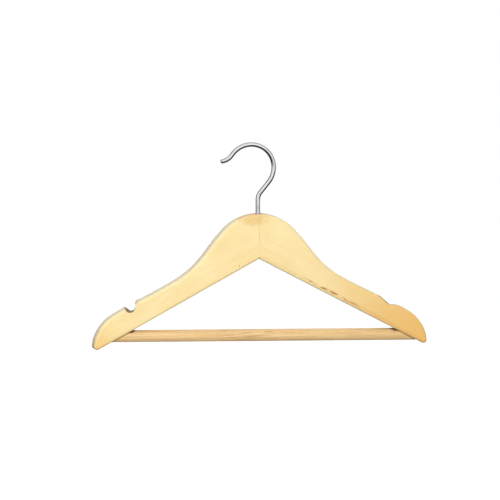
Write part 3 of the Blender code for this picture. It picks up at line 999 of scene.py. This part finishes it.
def dull_steel(name, grey, dark, rust):
    """Plain steel with blotchy tarnish."""
    material, tree, shader = new_material(name)
    place = add_node(tree, "ShaderNodeTexCoord").outputs["Object"]
    blotches = noise(tree, place, TARNISH)
    scratches = noise(tree, place, SCRATCHES)
    tone = laid(tree, grey, blotches, dark)
    tone = laid(tree, tone, blotches, rust)
    finish_surface(tree, shader, tone, (STEEL_ROUGHNESS, (blotches, 0.25)), scratches, STEEL_BUMPS, 0.5)
    shader.inputs["Metallic"].default_value = 1.0
    return material


# Studio


def look_at(obj, target):
    obj.rotation_euler = (Vector(target) - obj.location).to_track_quat("-Z", "Y").to_euler()


def direction_of(azimuth, elevation):
    """Unit direction from the hanger, at an angle round from the front towards the right and up."""
    return Vector((sin(azimuth) * cos(elevation), -cos(azimuth) * cos(elevation), sin(elevation)))


def make_camera(centre):
    """A long lens from a little left of and above the front, framed a little left of and below centre."""
    back = direction_of(CAMERA_AZIMUTH, CAMERA_ELEVATION)
    right = Vector((cos(CAMERA_AZIMUTH), sin(CAMERA_AZIMUTH), 0))
    up = back.cross(right)
    aim = centre - HANGER_RIGHT * right - HANGER_UP * up
    data = bpy.data.cameras.new("camera")
    data.lens = CAMERA_LENS
    data.sensor_width = CAMERA_SENSOR
    distance = PICTURE_WIDTH * CAMERA_LENS / CAMERA_SENSOR
    data.clip_start = CLIP_START
    data.clip_end = CLIP_END
    camera = bpy.data.objects.new("camera", data)
    bpy.context.scene.collection.objects.link(camera)
    camera.location = aim + distance * back
    look_at(camera, aim)
    bpy.context.scene.camera = camera


def add_light(lamp, centre):
    """A lamp that faces the hanger. Polished metal shows the room instead of it."""
    data = bpy.data.lights.new(lamp.name, "AREA")
    data.size = lamp.size
    data.energy = lamp.power
    light = bpy.data.objects.new(lamp.name, data)
    bpy.context.scene.collection.objects.link(light)
    light.location = centre + lamp.distance * direction_of(lamp.azimuth, lamp.elevation)
    look_at(light, centre)
    light.visible_glossy = False


def background(tree, strength):
    return add_node(tree, "ShaderNodeBackground", {"Color": WHITE, "Strength": strength}).outputs[0]


def make_world():
    """White behind the hanger and a soft even light all round it. Reflections see a room that glows in
    front, above the back and on the right, and is dark elsewhere, which draws dark edges on polished
    metal."""
    world = bpy.data.worlds.new("studio")
    world.use_nodes = True
    tree = world.node_tree
    tree.nodes.clear()
    direction = add_node(tree, "ShaderNodeTexCoord").outputs["Generated"]
    glow = 0.0
    for way, start, full, strength in ROOM_GLOWS:
        near = vector_calc(tree, "DOT_PRODUCT", direction, way.normalized(), output="Value")
        glow = calc(tree, "ADD", glow, scaled(tree, between(tree, near, start, full), strength))
    above = between(tree, part_of(tree, direction, "Z"), *HORIZON)
    room = calc(tree, "ADD", ROOM_DARK, calc(tree, "MULTIPLY", glow, above))
    ray = add_node(tree, "ShaderNodeLightPath").outputs
    bounced = {0: ray["Is Glossy Ray"], 1: background(tree, AMBIENT_LIGHT), 2: background(tree, room)}
    lit = add_node(tree, "ShaderNodeMixShader", bounced).outputs[0]
    direct = {0: ray["Is Camera Ray"], 1: lit, 2: background(tree, BACKDROP_LIGHT)}
    shown = add_node(tree, "ShaderNodeMixShader", direct).outputs[0]
    add_node(tree, "ShaderNodeOutputWorld", {"Surface": shown})
    bpy.context.scene.world = world


def make_floor(height):
    """A plain white floor, lit evenly by itself, that leaves the hanger's light alone."""
    mesh = bpy.data.meshes.new("floor")
    build = bmesh.new()
    place = Matrix.Translation((0, 0, height))
    bmesh.ops.create_circle(build, cap_ends=True, segments=FLOOR_SIDES, radius=FLOOR_RADIUS, matrix=place)
    build.to_mesh(mesh)
    build.free()
    floor = add_object("floor", mesh)
    material, _, shader = new_material("floor")
    shader.inputs["Base Color"].default_value = FLOOR_GREY
    shader.inputs["Roughness"].default_value = 0.9
    shader.inputs["Specular IOR Level"].default_value = 0.0
    shader.inputs["Emission Color"].default_value = WHITE
    shader.inputs["Emission Strength"].default_value = FLOOR_GLOW
    mesh.materials.append(material)
    floor.visible_glossy = False
    floor.visible_diffuse = False


def finish_piece(piece, node, body, material):
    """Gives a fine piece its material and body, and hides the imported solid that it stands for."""
    piece.data.materials.clear()
    piece.data.materials.append(material)
    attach(piece, body)
    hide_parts(node)


left_arm, right_arm = make_arms()
left_lacquer = arm_wood("left_arm_lacquer", -1, LEFT_LOOK)
right_lacquer = arm_wood("right_arm_lacquer", 1, RIGHT_LOOK)
finish_piece(left_arm, "left_arm", "hanger_body", left_lacquer)
finish_piece(right_arm, "right_arm", "hanger_body", right_lacquer)
finish_piece(make_bar(), "trouser_bar", "hanger_body", bar_wood())
finish_piece(make_hook(), "hook", "hook", hook_steel())
sleeve_look = dull_steel("sleeve_steel", SLEEVE_GREY, SLEEVE_DARK, SLEEVE_RUST)
finish_piece(make_sleeve(), "swivel_sleeve", "hanger_body", sleeve_look)
brad_look = dull_steel("brad_steel", BRAD_GREY, BRAD_DARK, BRAD_RUST)
for label, x in (("left", LEFT_BRAD_X), ("right", RIGHT_BRAD_X)):
    brad = make_brad(f"{label}_bar_brad_steel", x)
    finish_piece(brad, f"{label}_bar_brad", "hanger_body", brad_look)

low, high = cad_box
middle = (low + high) / 2
make_world()
make_floor(low.z - FLOOR_DROP)
make_camera(middle)
for lamp in LAMPS:
    add_light(lamp, middle)
bpy.context.scene.view_settings.view_transform = "Standard"
